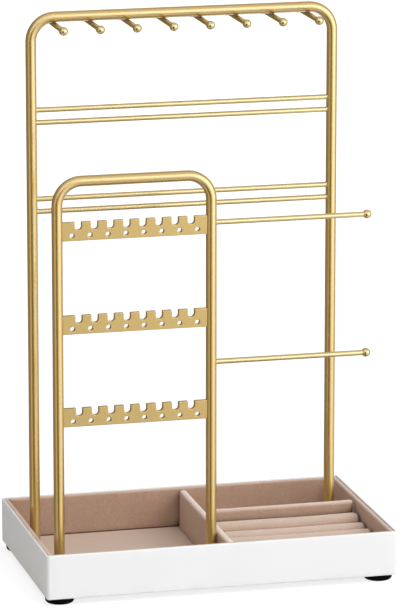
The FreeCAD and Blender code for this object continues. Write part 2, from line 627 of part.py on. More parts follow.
# ---------------------------------------------------------------- assembly
make_tray_shell()
make_lining()
make_floor_pad("floor_pad_left", "-" + LINED_X, DIVIDER_LEFT, REAR_POSTS[:1] + FRONT_POSTS)
make_floor_pad("floor_pad_right", DIVIDER_RIGHT, LINED_X, REAR_POSTS[1:])
make_divider()
make_partition()
make_ring_card()
for number in range(1, RING_ROLLS + 1):
    make_ring_roll(number)
foot_x = "(sizes.tray_width / 2 - sizes.foot_inset)"
foot_y = "(sizes.tray_depth / 2 - sizes.foot_inset)"
for end, y_sign in (("front", "-"), ("rear", "")):
    for side, x_sign in (("left", "-"), ("right", "")):
        make_foot("foot_%s_%s" % (end, side), x_sign + foot_x, y_sign + foot_y)
make_frame("rear_frame", REAR_SPAN, "sizes.rear_rise", POST_Y)
make_frame("front_frame", FRONT_SPAN, "sizes.front_rise", "-" + POST_Y)
for pair in ("upper", "lower"):
    make_rail(pair + "_rail_top", "sizes.%s_rail_drop" % pair)
    make_rail(pair + "_rail_bottom", "sizes.%s_rail_drop - sizes.rail_pair_pitch" % pair)
for number in range(1, PEGS + 1):
    make_peg(number)
for number, name in enumerate(EARRING_BARS):
    make_earring_bar("earring_bar_" + name, number)
for name in ("upper", "lower"):
    make_bracelet_rod("bracelet_rod_" + name, "sizes.%s_rod_drop" % name)
fixings = make_fixings()
doc.recompute()

# ---------------------------------------------------------------- check and export
for thing in doc.Objects:
    if "Invalid" in thing.State or "Error" in thing.State:
        raise RuntimeError("%s did not recompute: %s" % (thing.Name, thing.State))
pieces = [thing for thing in doc.Objects if thing.TypeId == "PartDesign::Body"] + fixings
for piece in pieces:
    if piece.Shape.isNull() or not piece.Shape.isValid() or not piece.Shape.Solids:
        raise RuntimeError("%s has no valid solid" % piece.Label)
os.makedirs("parts", exist_ok=True)
for piece in pieces:
    piece.Shape.exportStep("parts/%s.step" % piece.Label)
    print("%-22s %d solid(s) %10.1f mm3" % (piece.Label, len(piece.Shape.Solids), piece.Shape.Volume))
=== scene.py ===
import math

import bmesh
import bpy
import numpy as np
from mathutils import Matrix, Vector
from mathutils.geometry import tessellate_polygon


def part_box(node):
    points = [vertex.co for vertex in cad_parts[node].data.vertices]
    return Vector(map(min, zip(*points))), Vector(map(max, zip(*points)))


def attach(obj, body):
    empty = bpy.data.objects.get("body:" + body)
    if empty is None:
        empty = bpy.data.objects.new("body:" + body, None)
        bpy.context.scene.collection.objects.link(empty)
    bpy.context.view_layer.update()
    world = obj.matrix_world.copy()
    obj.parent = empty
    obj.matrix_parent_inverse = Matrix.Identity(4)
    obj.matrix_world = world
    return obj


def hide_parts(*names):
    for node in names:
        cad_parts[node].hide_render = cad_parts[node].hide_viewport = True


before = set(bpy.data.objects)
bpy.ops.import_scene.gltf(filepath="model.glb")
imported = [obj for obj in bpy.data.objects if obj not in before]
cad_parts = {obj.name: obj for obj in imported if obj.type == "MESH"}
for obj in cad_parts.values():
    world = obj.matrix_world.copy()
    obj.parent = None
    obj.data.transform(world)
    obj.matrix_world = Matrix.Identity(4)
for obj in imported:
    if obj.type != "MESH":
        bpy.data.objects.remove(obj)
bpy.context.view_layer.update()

MM = 0.001


# ------------------------------------------------------------------ tray
# The tray is a shallow box of thin board. One piece of white leatherette, polyurethane on a
# cloth backing, is glued round its walls, over the rim and under the floor, so every edge is
# soft and there is no bare board.
def linear(colour):
    """An sRGB hex value as the linear colour that a shader takes."""
    channels = np.array([int(colour[i:i + 2], 16) for i in (1, 3, 5)]) / 255
    dark, light = channels / 12.92, ((channels + 0.055) / 1.055) ** 2.4
    return (*np.where(channels <= 0.04045, dark, light), 1.0)


def add_node(tree, kind, sockets=None, **settings):
    """Adds one node: settings are its properties, sockets its inputs' values or what feeds them."""
    node = tree.nodes.new(kind)
    for name, value in settings.items():
        setattr(node, name, value)
    for name, value in (sockets or {}).items():
        if isinstance(value, bpy.types.NodeSocket):
            tree.links.new(value, node.inputs[name])
        else:
            node.inputs[name].default_value = value
    return node


def new_material(name):
    """An empty node material, its tree, and the object coordinates that its patterns read."""
    material = bpy.data.materials.new(name)
    material.use_nodes = True
    tree = material.node_tree
    tree.nodes.clear()
    place = add_node(tree, "ShaderNodeTexCoord").outputs["Object"]
    return material, tree, place


def use_shader(tree, shader):
    """Makes a shader the look of the material."""
    add_node(tree, "ShaderNodeOutputMaterial", {"Surface": shader.outputs["BSDF"]})


def per(size):
    """The scale of a pattern whose cells are this many millimetres across."""
    return 1 / (size * MM)


def leatherette():
    """Moulded polyurethane skin: an even white with a satin gloss and a fine pebble grain.
    The grain of such a skin is 0.3 mm across; it is drawn at 0.6 mm so that it shows."""
    material, tree, place = new_material("white_leatherette")
    pebbles = add_node(tree, "ShaderNodeTexVoronoi", {"Vector": place, "Scale": per(0.6)},
                       feature="SMOOTH_F1")
    waves = add_node(tree, "ShaderNodeTexNoise", {"Vector": place, "Scale": per(18), "Detail": 2})
    stretch = add_node(tree, "ShaderNodeBump", {
        "Height": waves.outputs["Fac"], "Strength": 0.12, "Distance": 0.4 * MM})
    grain = add_node(tree, "ShaderNodeBump", {
        "Height": pebbles.outputs["Distance"], "Strength": 0.22, "Distance": 0.05 * MM,
        "Normal": stretch.outputs["Normal"]})
    tone = add_node(tree, "ShaderNodeMix", {
        "Factor": waves.outputs["Fac"], "A": linear("#EAEAEB"), "B": linear("#E6E6E8")},
        data_type="RGBA")
    gloss = add_node(tree, "ShaderNodeMapRange", {
        "Value": pebbles.outputs["Distance"], "To Min": 0.42, "To Max": 0.5})
    use_shader(tree, add_node(tree, "ShaderNodeBsdfPrincipled", {
        "Base Color": tone.outputs["Result"], "Roughness": gloss.outputs["Result"],
        "IOR": 1.48, "Normal": grain.outputs["Normal"]}))
    return material


def grid_patch(points, wrap_rows=False, caps=True):
    """Four-sided faces over an array of rows x columns x (x, y, z). The columns run round and
    meet, the rows meet too where wrap_rows says so, and otherwise flat caps close both ends."""
    rows, columns = points.shape[:2]
    index = np.arange(rows * columns).reshape(rows, columns)
    round_index = np.hstack([index, index[:, :1]])
    if wrap_rows:
        round_index = np.vstack([round_index, round_index[:1]])
    here, there = round_index[:-1], round_index[1:]
    corners = (here[:, :-1], here[:, 1:], there[:, 1:], there[:, :-1])
    faces = np.stack(corners, axis=-1).reshape(-1, 4).tolist()
    if caps and not wrap_rows:
        faces += [index[0, ::-1].tolist(), index[-1].tolist()]
    return points.reshape(-1, 3), faces


MERGE = 1e-4 * MM
CREASE = 40  # degrees: a rigid piece is shaded smooth over any fold that is blunter than this


def new_mesh(name, patches, crease=CREASE):
    """One mesh of several patches: doubles merged, faces outwards, smooth up to a crease angle."""
    starts = np.cumsum([0] + [len(points) for points, _ in patches])
    faces = [[corner + start for corner in face]
             for (_, patch), start in zip(patches, starts) for face in patch]
    mesh = bpy.data.meshes.new(name)
    mesh.from_pydata(np.concatenate([points for points, _ in patches]).tolist(), [], faces)
    work = bmesh.new()
    work.from_mesh(mesh)
    bmesh.ops.remove_doubles(work, verts=work.verts, dist=MERGE)
    bmesh.ops.recalc_face_normals(work, faces=work.faces)
    work.to_mesh(mesh)
    work.free()
    mesh.shade_smooth()
    mesh.set_sharp_from_angle(angle=math.radians(crease))
    return mesh


def add_piece(name, mesh, material, nodes):
    """Shows a mesh as a piece of the stand, in place of the nodes that it stands for."""
    piece = bpy.data.objects.new(name, mesh)
    mesh.materials.clear()
    mesh.materials.append(material)
    bpy.context.scene.collection.objects.link(piece)
    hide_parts(*nodes)
    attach(piece, "root")
    return piece


def rounded_loop(half_width, half_height, radius, spacing):
    """A rectangle with rounded corners as arc centres and outward directions, anticlockwise:
    each corner is a quarter turn about one centre, and along a side the centre slides on."""
    steps = 7
    signs = ((1, 1), (-1, 1), (-1, -1), (1, -1))
    corners = np.array(signs) * (half_width - radius, half_height - radius)
    centres, outward = [], []
    for quarter, (corner, following) in enumerate(zip(corners, np.roll(corners, -1, axis=0))):
        turn = (quarter + np.linspace(0, 1, steps)) * np.pi / 2
        centres.append(np.tile(corner, (steps, 1)))
        outward.append(np.column_stack([np.cos(turn), np.sin(turn)]))
        count = max(int(np.abs(following - corner).sum() / spacing), 1)
        along = np.linspace(0, 1, count + 1)[1:-1, None]
        centres.append(corner + along * (following - corner))
        outward.append(np.tile(outward[-1][-1], (len(along), 1)))
    return np.concatenate(centres), np.concatenate(outward)


def carry_profile(loop, radius, insets, alongs):
    """A profile carried round a loop: each profile point moves the loop in by its inset and
    along by its height, so a point is centre + (radius - inset) x outward, at that height."""
    centres, outward = loop
    flat = centres[None] + (radius - insets)[:, None, None] * outward[None]
    heights = np.broadcast_to(alongs[:, None, None], (*flat.shape[:2], 1))
    return np.concatenate([flat, heights], axis=2)


def arc(radius, start, end, steps):
    """Points of a circle's arc about the origin, angles in degrees."""
    angles = np.radians(np.linspace(start, end, steps))
    return radius * np.cos(angles), radius * np.sin(angles)


tray_low, tray_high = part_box("tray_shell")
tray_height = tray_high.z - tray_low.z
TRAY_WALL = 1.2 * MM
TRAY_FLOOR = 1.5 * MM
TRAY_CORNER = 2.0 * MM
FOLD_UNDER = 0.9 * MM
FOLD_RIM = 0.5 * MM
TRAY_STEP = 5 * MM  # between the points along a side


def tray_profile():
    """The wall's section from the underside, round the lower fold, up the outside, over the rim
    and down the inside to the floor, as insets from the outer face and heights."""
    under = arc(FOLD_UNDER, 270, 180, 7)
    over = arc(FOLD_RIM, 180, 90, 5)
    back = arc(FOLD_RIM, 90, 0, 5)
    rim = tray_height - FOLD_RIM
    wall = np.linspace(FOLD_UNDER, rim, 12)[1:-1]
    insets = np.concatenate([
        FOLD_UNDER + under[0], 0 * wall, FOLD_RIM + over[0], TRAY_WALL - FOLD_RIM + back[0],
        [TRAY_WALL]])
    heights = np.concatenate([
        FOLD_UNDER + under[1], wall, rim + over[1], rim + back[1], [TRAY_FLOOR]])
    return insets, heights


tray_middle = (tray_low + tray_high) / 2
tray_loop = rounded_loop(
    tray_high.x - tray_middle.x, tray_high.y - tray_middle.y, TRAY_CORNER, TRAY_STEP)
tray_points = carry_profile(tray_loop, TRAY_CORNER, *tray_profile())
tray_points += (tray_middle.x, tray_middle.y, tray_low.z)
add_piece("leatherette_box", new_mesh("leatherette_box", [grid_patch(tray_points)]),
          leatherette(), ["tray_shell"])


# ------------------------------------------------------------------ feet
# Four rubber discs are glued under the corners. They are moulded with a rounded lower edge, and
# carbon black leaves them matt and nearly black.
def rubber():
    """Moulded rubber, black with carbon: dull, with a trace of mould texture 0.4 mm across."""
    material, tree, place = new_material("moulded_rubber")
    texture = add_node(tree, "ShaderNodeTexNoise", {
        "Vector": place, "Scale": per(0.4), "Detail": 3})
    bump = add_node(tree, "ShaderNodeBump", {
        "Height": texture.outputs["Fac"], "Strength": 0.3, "Distance": 0.05 * MM})
    dust = add_node(tree, "ShaderNodeMix", {
        "Factor": texture.outputs["Fac"], "A": linear("#030303"), "B": linear("#070707")},
        data_type="RGBA")
    use_shader(tree, add_node(tree, "ShaderNodeBsdfPrincipled", {
        "Base Color": dust.outputs["Result"], "Roughness": 0.55, "IOR": 1.52,
        "Specular IOR Level": 0.06, "Normal": bump.outputs["Normal"]}))
    return material


def turned(radii, heights, around=64):
    """A profile turned about the upright axis: a point is (r cos a, r sin a, height)."""
    angles = np.linspace(0, 2 * np.pi, around, endpoint=False)
    ring = np.column_stack([np.cos(angles), np.sin(angles)])
    flat = radii[:, None, None] * ring[None]
    level = np.broadcast_to(heights[:, None, None], (*flat.shape[:2], 1))
    return np.concatenate([flat, level], axis=2)


FOOT_ROUNDING = 1.6 * MM
FOOT_TOP_EDGE = 0.3 * MM
foot_rubber = rubber()
for foot in ("foot_front_left", "foot_front_right", "foot_rear_left", "foot_rear_right"):
    low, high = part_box(foot)
    radius, height = (high.x - low.x) / 2, high.z - low.z
    lower = arc(FOOT_ROUNDING, 270, 360, 9)
    upper = arc(FOOT_TOP_EDGE, 0, 90, 4)
    radii = np.concatenate([
        [0], radius - FOOT_ROUNDING + lower[0], radius - FOOT_TOP_EDGE + upper[0], [0]])
    heights = np.concatenate([
        [0], FOOT_ROUNDING + lower[1], height - FOOT_TOP_EDGE + upper[1], [height]])
    points = turned(radii, heights) + ((low.x + high.x) / 2, (low.y + high.y) / 2, low.z)
    add_piece("rubber_" + foot, new_mesh(foot, [grid_patch(points, caps=False)]), foot_rubber,
              [foot])


# ------------------------------------------------------------------ lining
# The walls are lined with thin padded boards: card with a little foam, wrapped in short-pile
# velvet and glued in. The side boards run right through and the front and back boards butt
# between them, so the corners show a crease.
POST_RADIUS = 3 * MM


def velvet():
    """Short-pile polyester velvet in dusty pink. The pile leans a little differently from place
    to place, which shows as soft patches 7 mm wide and about 20 mm tall. Faces that look up are
    painted paler, a painted top light; the tops of the padded pieces get a painted highlight; and
    creases get a painted shade, faded out round the front post. Pile is 0.1 mm thick; its tufts
    are drawn 0.7 mm across so that they show."""
    material, tree, place = new_material("pink_velvet")
    drawn = add_node(tree, "ShaderNodeMapping", {"Vector": place, "Scale": (1, 1, 0.35)})
    lean = add_node(tree, "ShaderNodeTexNoise", {
        "Vector": drawn.outputs["Vector"], "Scale": per(7), "Detail": 4, "Roughness": 0.6})
    tufts = add_node(tree, "ShaderNodeTexNoise", {"Vector": place, "Scale": per(0.7), "Detail": 2})
    mottle = add_node(tree, "ShaderNodeMix", {
        "Factor": lean.outputs["Fac"], "A": linear("#AF917D"), "B": linear("#C0A38F")},
        data_type="RGBA")
    # Painted top light: faces that look up are painted paler, the more so the more they look up.
    facing = add_node(tree, "ShaderNodeSeparateXYZ", {
        0: add_node(tree, "ShaderNodeNewGeometry").outputs["Normal"]})
    top_light_mask = add_node(tree, "ShaderNodeMapRange", {
        "Value": facing.outputs["Z"], "From Min": 0.3, "From Max": 1.0, "To Max": 0.52})
    painted_top_light = add_node(tree, "ShaderNodeMix", {
        "Factor": top_light_mask.outputs["Result"], "A": mottle.outputs["Result"], "B": linear("#CFC2B7")},
        data_type="RGBA")
    # Painted highlight: the top 2 mm of each padded piece is painted paler, by an attribute that
    # add_padded writes.
    crest_highlight_mask = add_node(tree, "ShaderNodeAttribute", attribute_name="crest_highlight_mask")
    crest_highlight = add_node(tree, "ShaderNodeMix", {
        "Factor": crest_highlight_mask.outputs["Fac"], "A": painted_top_light.outputs["Result"], "B": linear("#E4DAD3")},
        data_type="RGBA")
    # Painted shade: where the ambient occlusion finds a crease within 6 mm, the velvet is painted a
    # dark brown.
    crease = add_node(tree, "ShaderNodeAmbientOcclusion", {"Distance": 6 * MM}, samples=8)
    crease_shade_depth = add_node(tree, "ShaderNodeMapRange", {
        "Value": crease.outputs["AO"], "From Min": 0.25, "From Max": 0.57, "To Min": 0.9,
        "To Max": 0.0})
    # A post of the front frame stands close to the divider, and the painted crease shade is
    # faded out round it.
    post_low, post_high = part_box("front_frame")
    post_axis = (post_high.x - POST_RADIUS, (post_low.y + post_high.y) / 2, 0)
    plan = add_node(tree, "ShaderNodeMapping", {"Vector": place, "Scale": (1, 1, 0)})
    from_post = add_node(tree, "ShaderNodeVectorMath", {
        0: plan.outputs["Vector"], 1: post_axis}, operation="DISTANCE")
    clear = add_node(tree, "ShaderNodeMapRange", {
        "Value": from_post.outputs["Value"], "From Min": 4 * MM, "From Max": 9 * MM})
    crease_shade_mask = add_node(tree, "ShaderNodeMath", {
        0: crease_shade_depth.outputs["Result"], 1: clear.outputs["Result"]}, operation="MULTIPLY")
    crease_shaded = add_node(tree, "ShaderNodeMix", {
        "Factor": crease_shade_mask.outputs["Value"], "A": crest_highlight.outputs["Result"], "B": linear("#4E2A18")},
        data_type="RGBA")
    shade = add_node(tree, "ShaderNodeMapRange", {
        "Value": tufts.outputs["Fac"], "From Min": 0.3, "From Max": 0.7, "To Min": 0.9,
        "To Max": 1.08})
    colour = add_node(tree, "ShaderNodeVectorMath", {
        0: crease_shaded.outputs["Result"], "Scale": shade.outputs["Result"]}, operation="SCALE")
    nap = add_node(tree, "ShaderNodeBump", {
        "Height": tufts.outputs["Fac"], "Strength": 0.35, "Distance": 0.15 * MM})
    use_shader(tree, add_node(tree, "ShaderNodeBsdfPrincipled", {
        "Base Color": colour.outputs["Vector"], "Roughness": 0.95, "IOR": 1.4,
        "Specular IOR Level": 0.15, "Sheen Weight": 0.55, "Sheen Roughness": 0.42,
        "Sheen Tint": linear("#FFE8DA"), "Normal": nap.outputs["Normal"]}))
    return material


pile = velvet()
ORDER = {"x": (2, 0, 1), "y": (0, 2, 1)}  # which of (thickness, height, length) is x, y and z


def board_points(low, high, length_axis, radius, end_radius, spacing):
    """A board with soft edges: a rounded section carried along its length, drawn in at the ends."""
    size, middle = high - low, (low + high) / 2
    thickness = size.y if length_axis == "x" else size.x
    half_length = (size.x if length_axis == "x" else size.y) / 2
    loop = rounded_loop(thickness / 2, size.z / 2, radius, spacing)
    start = arc(end_radius, 180, 90, 5)
    straight = np.arange(-half_length + end_radius, half_length - end_radius, spacing)[1:]
    insets = np.concatenate([end_radius - start[1], 0 * straight, (end_radius - start[1])[::-1]])
    alongs = np.concatenate([
        start[0] - half_length + end_radius, straight, (half_length - end_radius - start[0])[::-1]])
    points = carry_profile(loop, radius, insets, alongs)
    return points[..., ORDER[length_axis]] + tuple(middle)


LINING_EDGE = 1.35 * MM
LINING_END = 0.5 * MM
LINING_STEP = 2.5 * MM
SOFT_CREASE = 50
for side, length_axis in (("left", "y"), ("right", "y"), ("front", "x"), ("back", "x")):
    low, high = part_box("lining_" + side)
    points = board_points(low, high, length_axis, LINING_EDGE, LINING_END, LINING_STEP)
    name = "velvet_lining_" + side
    board = add_piece(name, new_mesh(name, [grid_patch(points)], SOFT_CREASE), pile,
                      ["lining_" + side])


# ------------------------------------------------------------------ floor covers
# Velvet over thin card lies on the tray floor, one piece each side of the divider, cut out round
# the posts of the frames.
def offset_loop(loop, distance):
    """Moves a closed outline to its left by a distance, along each corner's mitred direction."""
    before, after = np.roll(loop, 1, axis=0), np.roll(loop, -1, axis=0)
    back, ahead = loop - before, after - loop
    back /= np.linalg.norm(back, axis=1)[:, None]
    ahead /= np.linalg.norm(ahead, axis=1)[:, None]
    left = np.column_stack([-(back + ahead)[:, 1], (back + ahead)[:, 0]])
    stretch = 2 / (left ** 2).sum(axis=1)
    return loop + distance * left * stretch[:, None]


def plate_patches(loops, low, high, edge):
    """A flat plate between two heights. Each outline runs with the plate on its left, and its edge
    is a quarter round at both faces; triangles fill the faces between the outlines."""
    bend = arc(edge, 180, 90, 4)
    # One more ring on each face, just inside the rounding, keeps the face shaded flat.
    inner, curve = [edge + 0.6 * edge], edge + bend[0]
    insets = np.concatenate([inner, curve[::-1], curve, inner])
    heights = np.concatenate([[low], (low + edge - bend[1])[::-1], high - edge + bend[1], [high]])
    patches, lower, upper = [], [], []
    for loop in loops:
        rings = np.stack([offset_loop(loop, inset) for inset in insets])
        level = np.broadcast_to(heights[:, None, None], (*rings.shape[:2], 1))
        points = np.concatenate([rings, level], axis=2)
        patches.append(grid_patch(points, caps=False))
        lower.append(points[0])
        upper.append(points[-1])
    for rings in (lower, upper):
        triangles = tessellate_polygon([[Vector(point) for point in ring] for ring in rings])
        patches.append((np.concatenate(rings), [list(triangle) for triangle in triangles]))
    return patches


def circle_loop(x, y, radius, count=40):
    """A circle as an outline, clockwise, so that the plate lies outside it, on its left."""
    angles = -np.linspace(0, 2 * np.pi, count, endpoint=False)
    return np.column_stack([x + radius * np.cos(angles), y + radius * np.sin(angles)])


rear_low, rear_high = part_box("rear_frame")
front_low, front_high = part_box("front_frame")
TUBE_RADIUS = (rear_high.y - rear_low.y) / 2
POST_GAP = 0.15 * MM
COVER_EDGE = 0.2 * MM
post_places = [(x, (box[0].y + box[1].y) / 2)
               for box in ((rear_low, rear_high), (front_low, front_high))
               for x in (box[0].x + TUBE_RADIUS, box[1].x - TUBE_RADIUS)]
for side in ("left", "right"):
    low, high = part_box("floor_pad_" + side)
    corners = np.array([(low.x, low.y), (high.x, low.y), (high.x, high.y), (low.x, high.y)])
    holes = [circle_loop(x, y, TUBE_RADIUS + POST_GAP)
             for x, y in post_places if low.x < x < high.x]
    patches = plate_patches([corners, *holes], low.z, high.z, COVER_EDGE)
    name = "velvet_floor_" + side
    cover = add_piece(name, new_mesh(name, patches, SOFT_CREASE), pile,
                      ["floor_pad_" + side])


# ------------------------------------------------------------------ divider and ring insert
# The divider, the partition behind the rings and the five ring rolls are foam in velvet. The
# cover is pulled tight round the foam and glued underneath, so it swells a little between its
# edges, rounds off at the ends and is flat only where it stands.
BLOW_UP = 20  # the covers are simulated this many times larger, the size that cloth settings suit
SWELL_FRAMES = 20
PRESSURE = 4


def swell(mesh, voxel, most, floor):
    """Remeshes a closed cover evenly, blows it up as cloth from the inside while its foot is held
    to the floor, and scales all its moves down so that none is longer than a limit."""
    scene = bpy.context.scene
    cover = bpy.data.objects.new("cover", mesh)
    scene.collection.objects.link(cover)
    mesh.transform(Matrix.Scale(BLOW_UP, 4))
    remesh = cover.modifiers.new("Remesh", "REMESH")
    remesh.mode = "VOXEL"
    remesh.voxel_size = voxel * BLOW_UP
    even = bpy.data.meshes.new_from_object(
        cover.evaluated_get(bpy.context.evaluated_depsgraph_get()))
    cover.modifiers.clear()
    cover.data = even
    start = np.empty(len(even.vertices) * 3)
    even.vertices.foreach_get("co", start)
    start = start.reshape(-1, 3)
    moved = start
    glued = cover.vertex_groups.new(name="glued")
    glued.add(np.flatnonzero(start[:, 2] < (floor + voxel) * BLOW_UP).tolist(), 1.0, "REPLACE")
    cloth = cover.modifiers.new("Cloth", "CLOTH")
    cloth.settings.use_pressure = True
    cloth.settings.uniform_pressure_force = PRESSURE
    cloth.settings.vertex_group_mass = "glued"
    cloth.settings.effector_weights.gravity = 0
    cloth.point_cache.frame_start = 1
    cloth.point_cache.frame_end = SWELL_FRAMES
    for step in range(1, SWELL_FRAMES + 1):
        scene.frame_set(step)
    swollen = cover.evaluated_get(bpy.context.evaluated_depsgraph_get()).data
    moved = np.empty(len(swollen.vertices) * 3)
    swollen.vertices.foreach_get("co", moved)
    moved = moved.reshape(-1, 3)
    cover.modifiers.clear()
    scene.frame_set(1)
    move = moved - start
    longest = max(np.linalg.norm(move, axis=1).max(), 1e-9)
    move *= min(1, most * BLOW_UP / longest)
    even.vertices.foreach_set("co", ((start + move) / BLOW_UP).astype(np.float32).ravel())
    even.shade_smooth()
    bpy.data.objects.remove(cover)
    return even


CREST_DEPTH = 2 * MM
ROUND_ALL_OVER = 180


def add_padded(name, node, points, voxel, most, stretch):
    """A swollen piece, with one level of subdivision. Over its top 2 mm it gets a painted
    highlight,
    paler towards the top: highlight = stretch x (1 - depth / 2 mm)."""
    cover = new_mesh(name, [grid_patch(points)], ROUND_ALL_OVER)
    mesh = swell(cover, voxel, most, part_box(node)[0].z)
    places = np.empty(len(mesh.vertices) * 3)
    mesh.vertices.foreach_get("co", places)
    height = places[2::3]
    crest_highlight_mask = stretch * np.clip(1 - (height.max() - height) / CREST_DEPTH, 0, 1)
    crest_highlight = mesh.attributes.new("crest_highlight_mask", "FLOAT", "POINT")
    crest_highlight.data.foreach_set("value", crest_highlight_mask.astype(np.float32))
    piece = add_piece(name, mesh, pile, [node])
    smooth = piece.modifiers.new("Subdivision", "SUBSURF")
    smooth.levels = smooth.render_levels = 1


SHRINK = 0.35 * MM  # a cover starts this much smaller than its box, and stands on the same floor
shrink = Vector((SHRINK, SHRINK, SHRINK))
up = Vector((0, 0, SHRINK))


def standing_points(low, high, length_axis, top_radius, end_radius, spacing, bow):
    """A padded wall: a section with a rounded top and a foot that spreads, carried along its
    length and drawn in at the ends. Half its thickness is half + bow x exp(-height / 1 mm)."""
    size, middle = high - low, (low + high) / 2
    half = (size.y if length_axis == "x" else size.x) / 2
    half_length = (size.x if length_axis == "x" else size.y) / 2
    foot_radius = 0.3 * MM
    top = np.column_stack(arc(top_radius, 0, 90, 8))
    foot = np.column_stack(arc(foot_radius, 270, 360, 4))
    rise = np.linspace(foot_radius, size.z - top_radius, 14)[1:-1]
    side = np.concatenate([
        foot + (half + bow - foot_radius, foot_radius),
        np.column_stack([half + bow * np.exp(-rise / MM), rise]),
        top + (half - top_radius, size.z - top_radius)])
    loop = np.concatenate([side, side[::-1] * (-1, 1)])
    start = arc(end_radius, 180, 90, 6)
    straight = np.arange(-half_length + end_radius, half_length - end_radius, spacing)[1:]
    insets = np.concatenate([end_radius - start[1], 0 * straight, (end_radius - start[1])[::-1]])
    alongs = np.concatenate([
        start[0] - half_length + end_radius, straight, (half_length - end_radius - start[0])[::-1]])
    narrow = 1 - insets / half
    thick = loop[None, :, 0] * narrow[:, None]
    tall = loop[None, :, 1] * (1 - 0.5 * insets / size.z)[:, None]
    far = np.broadcast_to(alongs[:, None], thick.shape)
    points = np.stack([thick, tall - size.z / 2, far], axis=-1)
    return points[..., ORDER[length_axis]] + tuple(middle)


WALL_TOP = 1.9 * MM
WALL_END = 2.0 * MM
WALL_STEP = 2 * MM
WALL_BOW = 0.4 * MM
WALL_VOXEL = 0.8 * MM
WALL_SWELL = 0.35 * MM
thicker = Vector((0.3 * MM, 0, 0))  # on each side of the divider
shorter = Vector((0.4 * MM, 0, 0))  # at the partition's right end
# The stretch given to each padded piece sets how pale its painted crest highlight is.
low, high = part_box("divider")
points = standing_points(low + shrink - up - thicker, high - shrink + thicker, "y",
                         WALL_TOP, WALL_END, WALL_STEP, WALL_BOW)
add_padded("velvet_divider", "divider", points, WALL_VOXEL, WALL_SWELL, stretch=0.8)
low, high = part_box("ring_partition")
points = standing_points(low + shrink - up, high - shrink - shorter, "x",
                         WALL_TOP, WALL_END, WALL_STEP, WALL_BOW)
add_padded("velvet_partition", "ring_partition", points, WALL_VOXEL, WALL_SWELL,
           stretch=0.4)


ROLL_STEP = 3 * MM
ROLL_BOTTOM = 0.8 * MM
ROLL_END = 1.5 * MM
ROLL_DRAWN_IN = 0.12
WAVE_LENGTH = 47 * MM


def roll_points(low, high, waviness):
    """A roll: a half-round top on straight sides, carried along X and drawn in by an eighth at its
    ends. Hand-wrapped foam isn't quite straight, so a height grows by waviness x
    sin(2 pi x / 47 mm + phase) x height / (2 x the height of the sides)."""
    half_width, half_length = (high.y - low.y) / 2, (high.x - low.x) / 2
    bottom = ROLL_BOTTOM
    top = arc(half_width, 0, 180, 19)
    left = arc(bottom, 180, 270, 4)
    right = arc(bottom, 270, 360, 4)
    rise = high.z - low.z - half_width
    outline_centres = np.concatenate([
        np.tile((0, rise), (19, 1)), np.tile((-half_width + bottom, bottom), (4, 1)),
        np.tile((half_width - bottom, bottom), (4, 1))])
    spokes = np.concatenate([np.column_stack(top), np.column_stack(left), np.column_stack(right)])
    loop = outline_centres + spokes
    end = arc(1, 180, 90, 7)
    inward = 1 - ROLL_DRAWN_IN * (1 - end[1])
    ends = ROLL_END * (1 + end[0])
    straight = np.arange(-half_length + ROLL_STEP, half_length - ROLL_STEP, ROLL_STEP)
    shrinkage = np.concatenate([inward, 1 + 0 * straight, inward[::-1]])
    alongs = np.concatenate([-half_length + ends, straight, (half_length - ends)[::-1]])
    flat = loop[None] * shrinkage[:, None, None]
    phase = waviness * 9e4  # a different one for each roll
    wave = waviness * np.sin(alongs * 2 * np.pi / WAVE_LENGTH + phase)
    flat[..., 1] += wave[:, None] * (flat[..., 1] / (2 * rise))
    x = np.broadcast_to(alongs[:, None, None], (*flat.shape[:2], 1))
    middle = ((low.x + high.x) / 2, (low.y + high.y) / 2, low.z)
    return np.concatenate([x, flat], axis=2) + middle


ROLL_VOXEL = 1.2 * MM
ROLL_SWELL = 0.5 * MM
for number in range(1, 6):
    node = "ring_roll_%d" % number
    low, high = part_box(node)
    points = roll_points(low + shrink - up, high - shrink, (0.03 + 0.01 * number) * MM)
    add_padded("velvet_" + node, node, points, ROLL_VOXEL, ROLL_SWELL, stretch=0.1)
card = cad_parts["ring_card"].data.materials  # hidden under the rolls, so it stays as it is
card.clear()
card.append(pile)


